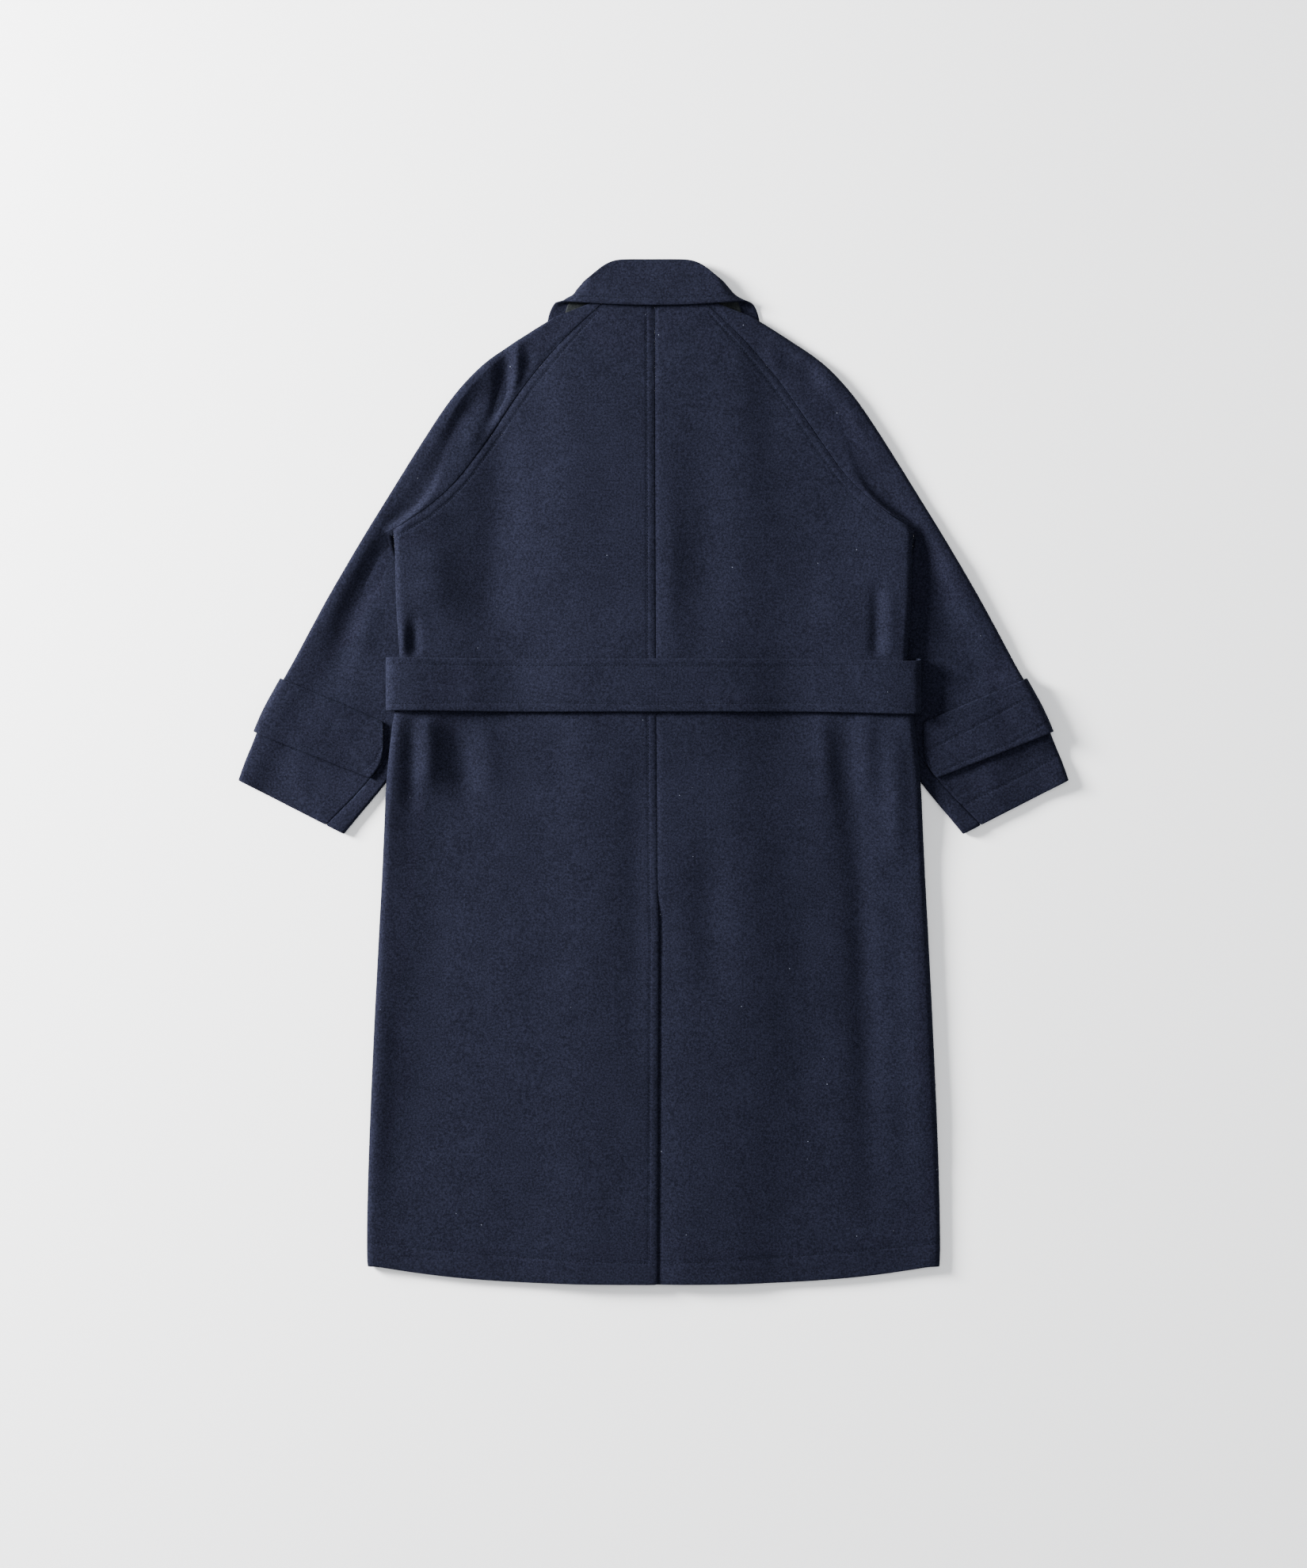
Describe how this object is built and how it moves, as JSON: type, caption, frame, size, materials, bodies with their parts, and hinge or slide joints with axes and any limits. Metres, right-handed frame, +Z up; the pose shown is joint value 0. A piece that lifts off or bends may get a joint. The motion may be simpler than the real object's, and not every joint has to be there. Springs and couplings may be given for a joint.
{
  "type": "double-breasted coat",
  "caption": "Belted wool coat with raglan sleeves, cuff straps and a turned-down collar, lying flat with its back up.",
  "frame": {"origin": "centre of the bounding box at the surface that the coat lies on", "axes": "+Y from the hem to the collar, +Z up from the surface, +X towards the wearer's right sleeve"},
  "size_m": [0.988, 1.2186, 0.0256],
  "materials": {
    "cloth": "dark navy felted wool, matte",
    "undercollar": "dark felt, matte",
    "button": "dark horn look, satin"
  },
  "bodies": {
    "root": {"back_left": "cloth", "back_right": "cloth", "front_left": "cloth", "front_right": "cloth", "sleeve_top_left": "cloth", "sleeve_top_right": "cloth", "sleeve_under_left": "cloth", "sleeve_under_right": "cloth", "cuff_strap_left": "cloth", "cuff_strap_right": "cloth", "collar_fall": "cloth", "collar_stand": "undercollar", "belt": "cloth", "button_1": "button", "button_2": "button", "button_3": "button", "button_4": "button", "button_5": "button", "button_6": "button"}
  },
  "joints": []
}
